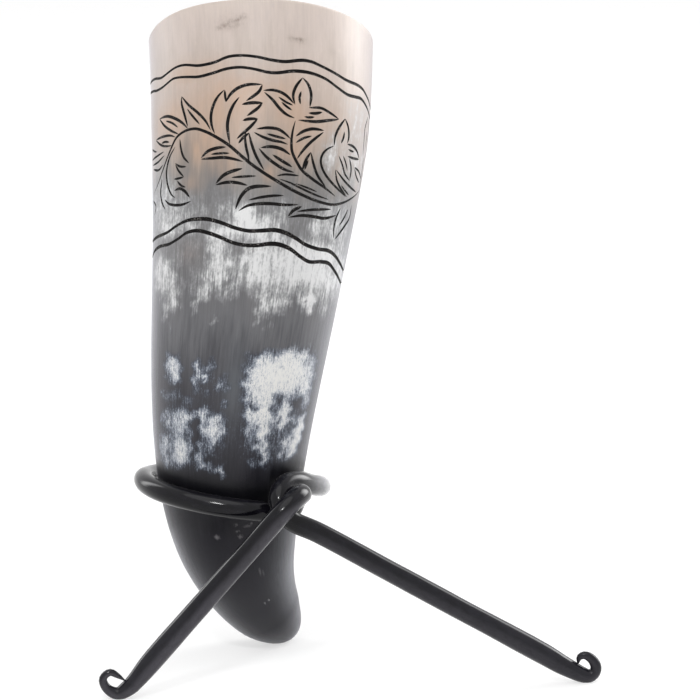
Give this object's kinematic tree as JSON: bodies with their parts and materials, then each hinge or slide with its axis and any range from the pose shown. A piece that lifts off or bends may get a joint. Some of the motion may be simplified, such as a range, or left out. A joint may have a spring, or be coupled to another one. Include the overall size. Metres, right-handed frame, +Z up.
{
  "type": "drinking horn",
  "caption": "Curved hollow drinking horn with an engraved band, standing tip down in the ring of a bent iron bar stand with scrolled feet, and lifting out of it.",
  "frame": {"origin": "centre of the bounding box's bottom face, on the surface that the tip and both feet rest on", "axes": "+Z up, -Y towards the side with the clasp and the engraving's best side, +X towards the longer leg"},
  "size_m": [0.1906, 0.1486, 0.2538],
  "materials": {
    "horn": "polished natural horn, cream and grey above a black tip",
    "wax": "smooth waxy food-safe sealing coat",
    "iron": "black satin over forged bar"
  },
  "bodies": {
    "stand": {"stand_bar": "iron"},
    "horn": {"horn_shell": "horn", "sealing_lining": "wax"}
  },
  "joints": [
    {"name": "horn_lift", "type": "slide", "parent": "stand", "child": "horn", "axis": [-0.0986, -0.138, 0.9855], "range_m": [0, 0.115]}
  ]
}
